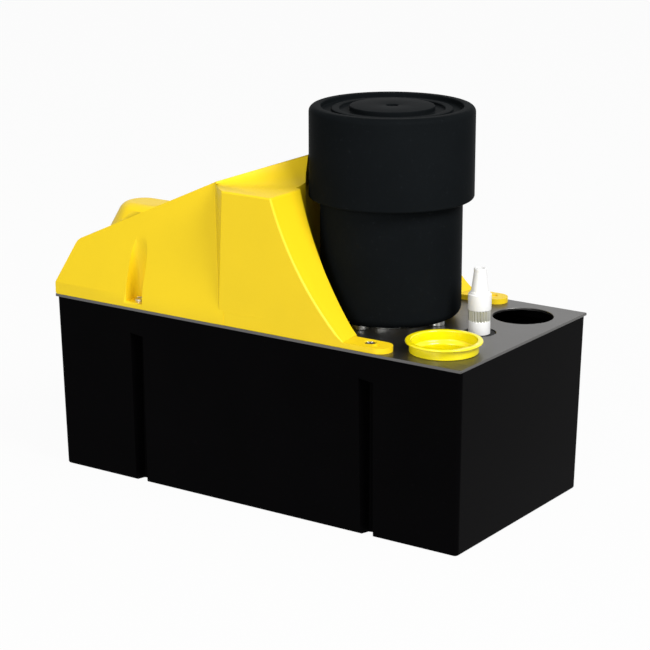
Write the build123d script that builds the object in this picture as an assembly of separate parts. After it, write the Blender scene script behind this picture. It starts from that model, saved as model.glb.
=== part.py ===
from build123d import *
import math
import os

# Condensate tank pump. Millimetres, +Z up, origin at the centre of the tank's underside.
# +X runs along the tank towards the inlet and outlet end, +Y towards its back.

# Clearances
running = 0.06
loose = 0.3
seat = 0.05
tool_reach = 45.0  # how far a cutting shape reaches past what it cuts

# Lid
lid_length = 320.0
lid_width = 159.5
lid_thickness = 1.8
lid_overhang = 0.6

# Tank
tank_length = lid_length - 2 * lid_overhang
tank_width = lid_width - 2 * lid_overhang
tank_height = 119.4
lid_top = tank_height + lid_thickness
tank_wall = 2.5
tank_floor = 3.0
tank_draft = 2.3
tank_corner = 3.0
rim_width = 9.2
rim_depth = 5.0
groove_from_end = 69.2
groove_x = lid_length / 2 - groove_from_end
groove_mouth = 11.5
groove_root = 5.0
groove_depth = 9.5
groove_top = 103.0
seal_inset = 2.2
seal_width = 2.4
seal_depth = 1.5

# Places along the lid, from its ends and sides
inlet_from_end = 30.7
inlet_from_side = 30.35
valve_from_end = 34.7
motor_from_end = 101.7
rod_from_rear = 115.0
inlet_x = lid_length / 2 - inlet_from_end
inlet_y = lid_width / 2 - inlet_from_side
inlet_radius = 20.0
valve_x = lid_length / 2 - valve_from_end
motor_x = lid_length / 2 - motor_from_end
rod_x = -lid_length / 2 + rod_from_rear

# Inlet cup
cup_socket_radius = 20.5
cup_wall = 1.2
cup_flange_radius = 24.2
cup_flange = 1.6
cup_height = 7.6
cup_spigot = 14.0
cup_spigot_wall = 1.4
cup_funnel = 1.8
cup_funnel_top = 1.2

# Outlet valve
valve_hole_radius = 10.7
valve_radius = 7.0
valve_bore = 4.6
valve_body_top = 8.0
valve_ring_top = 15.1
valve_collar_top = 25.6
valve_collar_radius = 7.5
barb_base = 26.9
barb_top = 42.2
barb_root_radius = 5.7
barb_tip_radius = 4.1
barb_tip_land = 2.5
barb_bore = 2.6

# Cover
cover_wall = 3.0
cover_setback = 0.3
cover_half_width = lid_width / 2 - cover_setback
skirt_height = 8.2
side_lean = 10.4
end_lean = 27.9
roof_start_height = 38.8
roof_corner = 10.0
skirt_corner = 4.0
step_to_motor = 91.7
step_x = motor_x - step_to_motor
step_height = 90.1
platform_drop = 2.0
platform_height = step_height - platform_drop
crown_to_motor = 43.8
crown_front_x = motor_x - crown_to_motor
crown_rise = 19.3
crown_front_height = platform_height + crown_rise
crown_front_half = 10.5
cove_rear = 4.0
cove_front = 35.5
wing_setback = 0.25
wing_half_width = cover_half_width - wing_setback
wing_lead = 4.7
wing_front_x = crown_front_x + wing_lead
sweep_run = 54.3
sweep_end_x = wing_front_x + sweep_run
sweep_sagitta = 6.5
end_face_run = 14.9
flare_behind = 34.6
flare_start_x = step_x - flare_behind
flare_ahead = 9.4
flare_foot_x = step_x + flare_ahead
flare_radius = 100.0
flare_reach = 45.0
cap_radius = 53.3
cap_gap = 1.9
recess_radius = cap_radius + cap_gap
recess_flat_half = 44.5
recess_splay = 16.4
tab_thickness = 3.5
tab_width = 16.7
tab_inner = wing_half_width - tab_width
screw_offset = 3.4
tab_screw_x = groove_x - screw_offset
tab_screw_inset = 10.6
tab_screw_y = wing_half_width - tab_screw_inset
tab_overhang = 16.8
tab_end_x = tab_screw_x + tab_overhang
dimple_radius = 2.4
dimple_inset = 6.9
dimple_run = 10.1
tab_dimple_x = tab_end_x - dimple_run
tab_dimple_y = wing_half_width - dimple_inset
channel_offset = 2.2
channel_x = -groove_x - channel_offset
channel_inset = 7.95
channel_screw_y = cover_half_width - channel_inset
channel_radius = 6.9
channel_tilt = 8.8
channel_slant = 4.0
hump_from_end = 46.0
hump_from_side = 39.75
hump_x = -lid_length / 2 + hump_from_end
hump_y = -lid_width / 2 + hump_from_side
hump_run = 14.0
hump_radius = 13.5
hump_taper = 28.0
hump_edge = 9.0
hump_height = 62.8

# Cover screws
screw_radius = 2.0
screw_head_radius = 3.9
screw_head_height = 2.2
screw_length = 16.0

# Motor
mount_ring_height = 3.3
mount_ring_outer = 31.0
mount_ring_inner = 26.0
mount_lug_radius = 5.5
shroud_radius = 45.9
shroud_wall = 2.0
shroud_edge = 6.0
shroud_height = 88.0
shroud_lip = 2.4
cap_wall = 2.6
cap_bottom = 80.4
cap_top = 139.3
cap_edge = 6.0
cap_lip = 8.5
cap_lower_edge = 1.5
cap_groove_depth = 3.2
cap_ring_radii = (45.6, 38.8, 33.7, 27.3)
cap_dimple = 3.8
shaft_radius = 4.0
bearing_radius = 11.0
bearing_width = 7.0
bolt_circle = 35.0
bolt_radius = 2.0
core_radius = 39.0
core_height = 30.0
rotor_radius = 22.0
air_gap = 0.6
winding_height = 9.0
bracket_plate = 3.0
bracket_rim = 12.0
post_wall = 2.5

# Pump
hanger_flange = 6.0
column_outer = 21.0
column_wall = 3.0
volute_radius = 38.0
volute_floor_z = 24.0
volute_depth = 16.0
volute_roof = 4.0
volute_wall = 6.0
base_thickness = 4.0
eye_radius = 10.0
outlet_offset = 24.0
spigot_radius = 7.0
spigot_bore = 5.0
spigot_length = 12.0
hose_wall = 2.0
hose_bend = 14.0
boss_radius = 13.0
boss_height = 15.4
strainer_radius = 31.0
strainer_height = 14.0
vane_count = 6
vane_radius = 27.0
vane_thickness = 1.8
impeller_radius = 28.0
impeller_hub = 7.5
impeller_plate = 2.5
nut_across_flats = 13.0
nut_height = 5.0
slinger_radius = 12.0
slinger_hub = 7.0
slinger_drop = 30.0
blade_count = 9
fan_hub = 9.0
fan_disc = 30.0
fan_radius = 38.0
fan_height = 16.0

# Floats and switches
run_y = 34.0
alarm_y = -6.0
float_radius = 18.0
float_height = 26.0
run_float_z = 14.0
alarm_float_z = 60.0
run_travel = 20.0
alarm_travel = 12.0
rod_radius = 2.0
guide_radius = 4.5
guide_flange = 7.5
spool_radius = 7.0
spool_gap = 4.0
spool_plate = 1.5
lever_length = 35.0
lever_thickness = 2.0
lever_width = 4.0
lever_tip_radius = 1.6
pivot_radius = 1.5
pivot_height = 29.0

# Electrical parts
gland_y = -12.0
gland_height = 22.5
gland_across_flats = 19.0
gland_hole_radius = 8.0
gland_bore = 4.0
gland_pocket_radius = 12.5
gland_pocket_from_end = 13.5
gland_pocket_x = -lid_length / 2 + gland_pocket_from_end
gland_dome_radius = 9.0
gland_dome = 7.5
gland_flange = 5.0
gland_thread = 14.0
capacitor_radius = 16.0
capacitor_height = 46.0
board_from_end = 29.0
board_x = -lid_length / 2 + board_from_end
board_y = 32.0
board_length = 30.0
board_width = 64.0
board_height = 10.4
board_thickness = 1.6
relay_length = 13.5
relay_width = 19.0
relay_height = 15.0
terminal_length = 40.0
terminal_width = 10.0
terminal_height = 11.0
terminal_ways = 6


def disc(radius, low, high, x=0.0, y=0.0):
    return Pos(x, y, (low + high) / 2) * Cylinder(radius, high - low)


def tube(outer, inner, low, high, x=0.0, y=0.0):
    return disc(outer, low, high, x, y) - disc(inner, low - 1, high + 1, x, y)


def block(x0, x1, y0, y1, z0, z1):
    return Pos((x0 + x1) / 2, (y0 + y1) / 2, (z0 + z1) / 2) * Box(x1 - x0, y1 - y0, z1 - z0)


def hexagon(across_flats, low, high, x=0.0, y=0.0):
    outline = RegularPolygon(across_flats / 2, 6, major_radius=False)
    return extrude(Pos(x, y, low) * outline, high - low)


def mirrored(shape):
    return shape + mirror(shape, Plane.XZ)


def around(count, shape, x, radius=0.0, start=0.0):
    """The shape copied about a vertical axis through (x, 0)."""
    return [
        Pos(x, 0, 0) * Rot(0, 0, start + i * 360 / count) * Pos(radius, 0, 0) * shape
        for i in range(count)
    ]


def plan_prism(points, low, high):
    return extrude(Pos(0, 0, low) * make_face(Polyline(*points, close=True)), high - low)


# Tank ---------------------------------------------------------------------------------------


def tank_block(inset, low, high):
    """The tapered tank volume between two heights, inset from the outer walls."""
    def section(z):
        shrink = tank_draft * (1 - z / tank_height) + inset
        return Pos(0, 0, z) * Rectangle(tank_length - 2 * shrink, tank_width - 2 * shrink)
    return loft([section(low), section(high)], ruled=True)


def groove_prism(growth, low, high):
    """The side groove's trapezoid, grown outwards by a wall."""
    mouth = groove_mouth / 2 + growth
    root = groove_root / 2 + growth
    face_y = tank_width / 2
    depth = groove_depth + growth
    outline = [(-mouth, face_y + 1), (-root, face_y - depth), (root, face_y - depth), (mouth, face_y + 1)]
    return plan_prism(outline, low, high)


def screw_boss(x, y):
    reach = tank_width / 2 - y + 2 * screw_radius + tank_wall
    width = 2 * (screw_radius + tank_wall) + 8
    low = groove_top - tank_wall
    return block(x - width / 2, x + width / 2, tank_width / 2 - reach, tank_width / 2, low, tank_height)


def cover_screw_places():
    front = [(tab_screw_x, side * tab_screw_y, tab_thickness) for side in (-1, 1)]
    rear = [(channel_x, side * channel_screw_y, tab_thickness) for side in (-1, 1)]
    return front + rear


def make_tank():
    shell = tank_block(0, 0, tank_height)
    corners = [e for e in shell.edges() if abs((e @ 1).Z - (e @ 0).Z) > tank_height / 2]
    shell = fillet(corners, tank_corner)
    shell = fillet(shell.edges().group_by(Axis.Z)[0], tank_corner / 2)
    outside = shell
    shell -= tank_block(tank_wall, tank_floor, tank_height - rim_depth)
    shell -= tank_block(rim_width, tank_floor, tank_height + 1)
    for x in (-groove_x, groove_x):
        shell += Pos(x, 0, 0) * mirrored(groove_prism(tank_wall, 0, groove_top + tank_wall)) & outside
    for x, y in ((channel_x, channel_screw_y), (tab_screw_x, tab_screw_y)):
        shell += mirrored(screw_boss(x, y)) & outside
    for x in (-groove_x, groove_x):
        shell -= Pos(x, 0, 0) * mirrored(groove_prism(0, -1, groove_top))
    for x, y, _ in cover_screw_places():
        depth = screw_length - lid_thickness - tab_thickness + screw_head_height + 1
        shell -= disc(screw_radius + running, tank_height - depth, tank_height + 1, x, y)
    return shell - seal_ring(loose / 2, 1)


def seal_ring(clearance, rise):
    low = tank_height - seal_depth
    outer = tank_length - 2 * (seal_inset - clearance), tank_width - 2 * (seal_inset - clearance)
    shrink = 2 * (seal_width + 2 * clearance)
    ring = Rectangle(*outer) - Rectangle(outer[0] - shrink, outer[1] - shrink)
    return extrude(Pos(0, 0, low) * ring, seal_depth + rise)


# Lid ----------------------------------------------------------------------------------------


def make_lid():
    lid = Pos(0, 0, tank_height + lid_thickness / 2) * Box(lid_length, lid_width, lid_thickness)
    low, high = tank_height - 1, lid_top + 1
    for side in (-1, 1):
        lid -= disc(inlet_radius, low, high, inlet_x, side * inlet_y)
    lid -= disc(valve_hole_radius, low, high, valve_x)
    lid -= disc(column_outer - column_wall, low, high, motor_x)
    lid -= around(4, disc(bolt_radius + running, low, high), motor_x, bolt_circle)
    for x, y, _ in cover_screw_places():
        lid -= disc(screw_radius + running, low, high, x, y)
    for y in (run_y, alarm_y):
        lid -= disc(guide_radius + running, low, high, rod_x, y)
    return lid


# Cover --------------------------------------------------------------------------------------


def across(face, half_width):
    return extrude(face, half_width, dir=(0, 1, 0), both=True)


def side_outline(inset, base):
    """Skirt, leaning end, rising roof and platform height, seen along Y."""
    left = -lid_length / 2
    lean_run = (roof_start_height - skirt_height) * math.tan(math.radians(end_lean))
    line = Polyline(
        (left, base),
        (left, lid_top + skirt_height),
        (left + lean_run, lid_top + roof_start_height),
        (step_x, lid_top + step_height),
        (step_x, lid_top + platform_height),
        (crown_front_x, lid_top + platform_height),
        (crown_front_x, base),
        close=True,
    )
    face = make_face(line)
    roof_start = (left + lean_run, lid_top + roof_start_height)
    skirt_top = (left, lid_top + skirt_height)
    face = fillet(face.vertices().sort_by_distance(roof_start)[0], roof_corner)
    face = fillet(face.vertices().sort_by_distance(skirt_top)[0], skirt_corner)
    face = Plane.XZ * face
    return offset(face, -inset) if inset else face


def lean_section(inset, base):
    """The cover's cross-section with its leaning long walls, seen along X."""
    half = cover_half_width - inset
    top = lid_top + crown_front_height
    knee = lid_top + skirt_height
    lean = (top - knee) * math.tan(math.radians(side_lean))
    line = Polyline(
        (-half, base), (-half, knee), (-half + lean, top), (half - lean, top), (half, knee), (half, base),
        close=True,
    )
    return extrude(Plane.YZ * make_face(line), lid_length, both=True)


def rear_body(inset=0.0, drop=0.0):
    base = lid_top - drop
    return across(side_outline(inset, base), cover_half_width + 1) & lean_section(inset, base - 1)


def wing_block(inset=0.0, drop=0.0):
    """Both wings as one block: flat platform, swept front and vertical outer walls."""
    base = lid_top - drop
    top = lid_top + platform_height
    foot = (sweep_end_x, lid_top + tab_thickness)
    front = SagittaArc((wing_front_x, top), foot, -sweep_sagitta)
    rest = Polyline(foot, (sweep_end_x, base), (step_x, base), (step_x, top), (wing_front_x, top))
    face = make_face(Plane.XZ * (front + rest))
    face = offset(face, -inset) if inset else face
    return across(face, wing_half_width - inset)


def crown():
    """The central roof that rises towards the motor, with a cove down to the platform."""
    base = lid_top + platform_height
    def section(x, half, height, cove):
        radius = (cove**2 + height**2) / (2 * height)
        bend = math.asin(cove / radius) / 2
        middle = (half + cove - radius * math.sin(bend), base + radius * (1 - math.cos(bend)))
        foot, ridge = (half + cove, base), (half, base + height)
        right = ThreePointArc(foot, middle, ridge)
        left = ThreePointArc((-half, base + height), (-middle[0], middle[1]), (-half - cove, base))
        top = Line(ridge, (-half, base + height))
        sides = Polyline((-half - cove, base), (-half - cove, base - 5), (half + cove, base - 5), foot)
        return Pos(x, 0, 0) * (Plane.YZ * make_face(right + top + left + sides))
    rear = section(step_x, lean_y(lid_top + step_height), step_height - platform_height, cove_rear)
    front = section(crown_front_x, crown_front_half, crown_front_height - platform_height, cove_front)
    return loft([rear, front], ruled=True)


def crown_cavity():
    """The hollow under the crown, narrowing with it."""
    low = lid_top + platform_height - 2 * cover_wall
    def section(x, half, high):
        return Pos(x, 0, (low + high) / 2) * (Plane.YZ * Rectangle(2 * half, high - low))
    rear_half = lean_y(lid_top + step_height) - 1.5 * cover_wall
    rear = section(step_x, rear_half, lid_top + step_height - 1.5 * cover_wall)
    front_top = lid_top + crown_front_height - 1.5 * cover_wall
    return loft([rear, section(crown_front_x, crown_front_half - cover_wall, front_top)], ruled=True)


def lean_y(z):
    """How far out the leaning long wall stands at a height."""
    return cover_half_width - (z - lid_top - skirt_height) * math.tan(math.radians(side_lean))


def end_face_cutter():
    """Everything outside the steep face that closes each wing's rear end."""
    top = Vector(step_x + 3, -lean_y(lid_top + step_height) - 4.3, lid_top + step_height)
    outer = Vector(step_x + end_face_run, -wing_half_width, lid_top + platform_height)
    foot = Vector(step_x + end_face_run - 3.5, -wing_half_width, lid_top + skirt_height)
    normal = (outer - top).cross(foot - outer).normalized()
    if normal.X > 0:
        normal = -normal
    face_plane = Plane(origin=top, x_dir=(outer - top), z_dir=normal)
    return face_plane * block(-lid_length, lid_length, -lid_length, lid_length, 0, tool_reach)


def flare():
    """The concave flare that carries each leaning wall out to the wing's rear end."""
    roof_run = step_x + lid_length / 2 - (roof_start_height - skirt_height) * math.tan(math.radians(end_lean))
    roof_slope = (step_height - roof_start_height) / roof_run
    top_z = lid_top + step_height - roof_slope * (step_x - flare_start_x)
    head = Vector(flare_start_x, -lean_y(top_z), top_z)
    foot = Vector(flare_foot_x, -cover_half_width, lid_top + skirt_height)
    along = (head - foot).normalized()
    outward = Vector(0, -math.cos(math.radians(side_lean)), math.sin(math.radians(side_lean)))
    sideways = outward.cross(along)
    if sideways.X < 0:
        sideways = -sideways
    reach = flare_reach
    rise = flare_radius - math.sqrt(flare_radius**2 - reach**2)
    half_bend = math.asin(reach / flare_radius) / 2
    middle = (flare_radius * math.sin(half_bend), flare_radius * (1 - math.cos(half_bend)))
    section = make_face(
        ThreePointArc((0, 0), middle, (reach, rise)) + Polyline((reach, rise), (reach, -6), (0, -6), (0, 0))
    )
    frame = Plane(origin=foot - along * tool_reach, x_dir=sideways, z_dir=sideways.cross(outward))
    length = (head - foot).length + 2 * tool_reach
    direction = 1 if frame.z_dir.dot(along) > 0 else -1
    return extrude(frame * section, direction * length)


def recess(growth):
    """The opening between the wings that the motor stands in."""
    low, high = lid_top - 1, lid_top + crown_front_height + tool_reach
    half = recess_flat_half + growth
    end_x = lid_length / 2
    splayed = half + (end_x - crown_front_x) * math.tan(math.radians(recess_splay))
    start_x = crown_front_x - growth
    wedge = plan_prism([(start_x, -half), (end_x, -splayed), (end_x, splayed), (start_x, half)], low, high)
    return wedge + disc(recess_radius + growth, low, high, motor_x)


def tab():
    width = wing_half_width - tab_inner
    centre_y = (wing_half_width + tab_inner) / 2
    end_centre = tab_end_x - width / 2
    top = lid_top + tab_thickness
    plate = block(sweep_end_x - 12, end_centre, tab_inner, wing_half_width, lid_top, top)
    return mirrored(plate + disc(width / 2, lid_top, top, end_centre, centre_y))


def screw_channel():
    """A slanted screwdriver channel in each leaning wall, down to the screw's floor."""
    floor = lid_top + tab_thickness
    inner = channel_screw_y
    slot = disc(channel_radius, -tool_reach, 2 * tool_reach)
    slot += block(-channel_radius, channel_radius, 0, tool_reach, -tool_reach, 2 * tool_reach)
    tilted = Pos(channel_x, inner, floor) * Rot(-channel_tilt, channel_slant, 0) * slot
    return mirrored(tilted & block(-lid_length, lid_length, 0, lid_width, floor, lid_top + step_height))


def hump(inset):
    base = lid_top + roof_start_height / 2
    top = lid_top + hump_height - inset
    slot = SlotCenterToCenter(hump_run, 2 * (hump_radius - inset))
    drum = extrude(Pos(hump_x + hump_run / 2, hump_y, top) * slot, base - top, taper=-hump_taper)
    return fillet(drum.edges().group_by(Axis.Z)[-1], hump_edge - inset)


def make_cover():
    wings = wing_block() + crown()
    cutter = end_face_cutter()
    wings -= cutter + mirror(cutter, Plane.XZ)
    solid = rear_body() + wings
    flare_fill = flare() & across(side_outline(0, lid_top), lid_width / 2)
    flare_fill -= cutter
    low = lid_top + skirt_height
    flare_fill &= block(-lid_length, wing_front_x, -wing_half_width, 0, low, lid_top + step_height)
    solid += mirrored(flare_fill)
    trim_low, trim_high = lid_top - 1, lid_top + skirt_height + 1
    trim = block(step_x + end_face_run, lid_length, wing_half_width, lid_width, trim_low, trim_high)
    solid -= mirrored(trim)
    solid += hump(0)
    cavity = wing_block(cover_wall, 2 * cover_wall)
    inner_cutter = Pos(cover_wall, cover_wall, 0) * cutter
    cavity -= inner_cutter + mirror(inner_cutter, Plane.XZ)
    cavity += rear_body(cover_wall, 2 * cover_wall) + crown_cavity() + hump(cover_wall)
    cavity -= recess(cover_wall)
    guard = screw_channel()
    channel_wall = disc(channel_radius + cover_wall, lid_top, lid_top + step_height)
    for side in (-1, 1):
        cavity -= Pos(channel_x, side * channel_screw_y, 0) * channel_wall
    wall_back = disc(gland_pocket_radius + cover_wall, 0, tool_reach)
    wall_back = Pos(gland_pocket_x + cover_wall, gland_y, lid_top + gland_height) * Rot(0, -90, 0) * wall_back
    cavity -= wall_back
    solid -= cavity
    solid -= recess(0)
    solid -= guard
    solid += tab()
    pocket = Pos(gland_pocket_x, gland_y, lid_top + gland_height) * Rot(0, -90, 0)
    solid -= pocket * disc(gland_pocket_radius, 0, tool_reach)
    solid -= pocket * disc(gland_hole_radius, -tool_reach, tool_reach)
    for x, y, thickness in cover_screw_places():
        solid -= disc(screw_radius + seat, lid_top - 1, lid_top + thickness + 1, x, y)
        low = lid_top + thickness - screw_head_height
        if x > 0:
            solid -= disc(screw_head_radius + loose, low, low + 20, x, y)
    for side in (-1, 1):
        dimple = disc(dimple_radius, lid_top + tab_thickness - dimple_radius / 2, lid_top + tab_thickness + 1)
        solid -= Pos(tab_dimple_x, side * tab_dimple_y, 0) * dimple
    return solid


def pan_screw(length, radius, head_radius, head_height):
    """A screw that points down from z = 0, the underside of its head."""
    screw = disc(radius, -length, 0) + disc(head_radius, 0, head_height)
    screw = fillet(screw.edges().group_by(Axis.Z)[-1], head_height / 3)
    arm = head_radius * 1.2
    for angle in (0, 90):
        screw -= Rot(0, 0, angle) * Pos(0, 0, head_height) * Box(arm, head_radius / 4, head_height)
    return screw


def make_cover_screws():
    screw = pan_screw(screw_length, screw_radius, screw_head_radius, screw_head_height)
    screws = []
    for x, y, thickness in cover_screw_places():
        sunk = screw_head_height if x > 0 else 0
        screws.append(Pos(x, y, lid_top + thickness - sunk) * screw)
    return screws


# Motor --------------------------------------------------------------------------------------

ring_top = lid_top + mount_ring_height
shroud_top = ring_top + shroud_height
plate_z = ring_top + shroud_wall
core_z = plate_z + bracket_plate + bracket_rim
core_top = core_z + core_height
upper_plate_z = core_top + bracket_rim
motor_top = upper_plate_z + bracket_plate


def make_mount_ring():
    ring = tube(mount_ring_outer, mount_ring_inner, lid_top, ring_top, motor_x)
    ring += around(4, disc(mount_lug_radius, lid_top, ring_top), motor_x, bolt_circle)
    return ring - around(4, disc(bolt_radius + running, lid_top - 1, ring_top + 1), motor_x, bolt_circle)


def make_shroud():
    can = disc(shroud_radius, ring_top, shroud_top, motor_x)
    can = fillet(can.edges().group_by(Axis.Z)[0], shroud_edge)
    inside = disc(shroud_radius - shroud_wall, plate_z, shroud_top + 1, motor_x)
    can -= fillet(inside.edges().group_by(Axis.Z)[0], shroud_edge - shroud_wall)
    can -= disc(bearing_radius + 3, ring_top - 1, plate_z + 1, motor_x)
    can += tube(shroud_radius + shroud_lip, shroud_radius - shroud_wall, shroud_top - 2, shroud_top, motor_x)
    return can - around(4, disc(bolt_radius + running, ring_top - 1, plate_z + 1), motor_x, bolt_circle)


def make_cap():
    low, high = lid_top + cap_bottom, lid_top + cap_top
    cap = disc(cap_radius, low, high, motor_x)
    cap = fillet(cap.edges().group_by(Axis.Z)[-1], cap_edge)
    cap = fillet(cap.edges().group_by(Axis.Z)[0], cap_lower_edge)
    cap -= disc(shroud_radius + loose, low - 1, low + 10, motor_x)
    cap -= disc(cap_radius - cap_wall, low + cap_lip, high - 2 * cap_wall, motor_x)
    cap -= disc(shroud_radius + shroud_lip + loose, low + cap_wall, low + cap_lip + 1, motor_x)
    rim, ridge, ridge_inner, centre = cap_ring_radii
    cap -= tube(rim, ridge, high - cap_groove_depth, high + 1, motor_x)
    cap -= tube(ridge_inner, centre, high - cap_groove_depth, high + 1, motor_x)
    cap -= tube(ridge, ridge_inner, high - cap_groove_depth / 2, high + 1, motor_x)
    cap -= disc(cap_dimple, high - cap_groove_depth / 2, high + 1, motor_x)
    rib_inner = shroud_radius - shroud_wall
    rib = block(rib_inner, cap_radius - cap_wall / 2, -1, 1, shroud_top, high - 1.5 * cap_wall)
    for copy in around(8, rib, motor_x, 0, 22.5):
        cap += copy
    return cap


def make_stator_core():
    core = tube(core_radius, rotor_radius + air_gap, core_z, core_top, motor_x)
    return core - around(4, disc(bolt_radius + running, core_z - 1, core_top + 1), motor_x, bolt_circle)


def make_windings():
    heads = []
    for low in (core_z - winding_height, core_top):
        outer = bolt_circle - bolt_radius - post_wall - loose
        head = tube(outer, rotor_radius + 2.5, low, low + winding_height, motor_x)
        face = 0 if low < core_z else -1
        heads.append(fillet(head.edges().group_by(Axis.Z)[face], 2.5))
    return heads


def end_bracket(plate_low, rim_low, rim_high, bearing_low):
    plate = disc(core_radius, plate_low, plate_low + bracket_plate)
    plate += tube(core_radius, core_radius - 2, rim_low, rim_high)
    hub_low, hub_high = min(plate_low, bearing_low), max(plate_low, bearing_low) + bearing_width
    plate += disc(bearing_radius + 3, hub_low, hub_high)
    plate -= disc(bearing_radius + seat, bearing_low, bearing_low + bearing_width + 5)
    plate -= disc(shaft_radius + 2, plate_low - 20, plate_low + 20)
    for bolt in around(4, disc(bolt_radius + post_wall, rim_low, rim_high), 0, bolt_circle):
        plate += bolt & disc(core_radius, rim_low, rim_high)
    holes = disc(bolt_radius + running, plate_low - 20, plate_low + 40)
    return Pos(motor_x, 0, 0) * (plate - around(4, holes, 0, bolt_circle))


lower_bearing_z = plate_z + 2.0
upper_bearing_z = upper_plate_z - bearing_width + bracket_plate


def make_lower_bracket():
    return end_bracket(plate_z, plate_z + bracket_plate, core_z, lower_bearing_z)


def make_upper_bracket():
    plate = disc(core_radius, upper_plate_z, motor_top)
    plate += tube(core_radius, core_radius - 2, core_top, upper_plate_z)
    plate += disc(bearing_radius + 3, upper_bearing_z - 2, motor_top)
    plate -= disc(bearing_radius + seat, upper_bearing_z, motor_top + 1)
    plate -= disc(shaft_radius + 2, core_top, motor_top + 1)
    for post in around(4, disc(bolt_radius + post_wall, core_top, upper_plate_z), 0, bolt_circle):
        plate += post & disc(core_radius, core_top, upper_plate_z)
    holes = disc(bolt_radius + running, core_top - 1, motor_top + 1)
    return Pos(motor_x, 0, 0) * (plate - around(4, holes, 0, bolt_circle))


def make_bearing(low):
    ring = tube(bearing_radius, shaft_radius + running, low, low + bearing_width, motor_x)
    groove = tube(8.2, 6.4, low - 1, low + 0.6, motor_x)
    return ring - groove - Pos(0, 0, bearing_width + 0.4) * groove


def make_through_bolts():
    top = motor_top
    length = top - tank_height + hanger_flange - 1
    bolt = disc(bolt_radius, top - length, top) + hexagon(7, top, top + 2.8)
    return around(4, bolt, motor_x, bolt_circle)


# Rotating group -----------------------------------------------------------------------------

shaft_low = volute_floor_z - 1.5
shaft_high = shroud_top + 6
fan_z = motor_top + 6
impeller_z = volute_floor_z + 3


def make_shaft():
    return disc(shaft_radius, shaft_low, shaft_high, motor_x)


def on_shaft(part, low, high):
    """Bores a part for the shaft and puts it on the motor's axis."""
    return Pos(motor_x, 0, 0) * (part - disc(shaft_radius + seat / 2, low - 1, high + 1))


def make_rotor():
    core = disc(rotor_radius, core_z, core_top)
    for low in (core_z - 4, core_top):
        core += tube(rotor_radius - 1, 15, low, low + 4)
    return on_shaft(core, core_z - 4, core_top + 4)


def make_fan():
    top = fan_z + fan_height
    half = vane_thickness / 2
    fan = disc(fan_hub, fan_z, top) + disc(fan_disc, fan_z, fan_z + vane_thickness)
    for blade in around(blade_count, block(fan_hub - 2, fan_radius, -half, half, fan_z, top), 0):
        fan += blade
    return on_shaft(fan, fan_z, top)


def make_slinger():
    low = lid_top - slinger_drop
    hub = disc(slinger_hub, low, low + slinger_hub)
    return on_shaft(hub + disc(slinger_radius, low, low + vane_thickness), low, low + slinger_hub)


def make_impeller():
    top = volute_floor_z + volute_depth - base_thickness / 2
    wheel = disc(impeller_radius, top - impeller_plate, top) + disc(impeller_hub, impeller_z, top)
    half_length = (vane_radius - impeller_hub) / 2
    half = vane_thickness / 2
    vane = block(-half_length, half_length, -half, half, impeller_z, top - impeller_plate / 2)
    swept = Pos(impeller_hub + half_length - 1, impeller_hub / 2, 0) * Rot(0, 0, 22) * vane
    for copy in around(vane_count, swept & disc(vane_radius, impeller_z, top), 0):
        wheel += copy
    return on_shaft(wheel, impeller_z, top)


def make_impeller_nut():
    low = impeller_z - nut_height
    return on_shaft(hexagon(nut_across_flats, low, impeller_z), low, impeller_z)


# Pump body ----------------------------------------------------------------------------------

hanger_z = tank_height - hanger_flange
volute_top = volute_floor_z + volute_depth + volute_roof
outlet_z = volute_floor_z + volute_depth / 2
outlet_reach = valve_x - motor_x
outlet_angle = math.degrees(math.asin(outlet_offset / outlet_reach))
outlet_run = math.sqrt(outlet_reach**2 - outlet_offset**2)
hose_radius = spigot_radius + seat + hose_wall
hose_start = math.sqrt(volute_radius**2 - (outlet_offset - hose_radius)**2) + 1
spigot_end = hose_start + spigot_length
boss_low = tank_height - boss_height


def outlet_frame():
    """X runs along the outlet's centre line, from its tangent point on the volute."""
    return Pos(motor_x, 0, outlet_z) * Rot(0, 0, outlet_angle) * Pos(0, -outlet_offset, 0)


def outlet_rod(radius, start, end):
    return outlet_frame() * Pos((start + end) / 2, 0, 0) * Rot(0, 90, 0) * Cylinder(radius, end - start)


def make_column():
    low = volute_top
    column = disc(bolt_circle + 6, hanger_z, tank_height, motor_x)
    column += tube(column_outer, column_outer - column_wall, low, hanger_z, motor_x)
    column += disc(volute_radius, low, low + 4, motor_x)
    arm = block(motor_x, valve_x, -boss_radius, boss_radius, hanger_z, tank_height)
    column += arm + disc(boss_radius, boss_low, tank_height, valve_x)
    column += disc(spigot_radius, boss_low - spigot_length, boss_low, valve_x)
    column -= disc(column_outer - column_wall, low - 1, tank_height + 1, motor_x)
    column -= disc(valve_radius + seat, boss_low + 3, tank_height + 1, valve_x)
    column -= disc(spigot_bore, boss_low - spigot_length - 1, tank_height, valve_x)
    hole = disc(bolt_radius + running, hanger_z - 1, tank_height + 1)
    column -= around(4, hole, motor_x, bolt_circle)
    column -= around(4, disc(1.6 + running, low - 1, low + 5), motor_x, bolt_circle)
    window = block(-4, 4, 0, 40, hanger_z - 24, hanger_z - 8)
    return column - around(4, window, motor_x, 0, 45)


def make_volute():
    casing = disc(volute_radius, volute_floor_z, volute_top, motor_x)
    casing += outlet_rod(spigot_radius, 10, spigot_end)
    casing -= disc(volute_radius - volute_wall, volute_floor_z - 1, volute_top - volute_roof, motor_x)
    casing -= outlet_rod(spigot_bore, 12, spigot_end + 1)
    casing -= disc(shaft_radius + 1, volute_floor_z, volute_top + 1, motor_x)
    hole = disc(1.6 + running, volute_floor_z - 1, volute_top + 1)
    return casing - around(4, hole, motor_x, bolt_circle)


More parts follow.
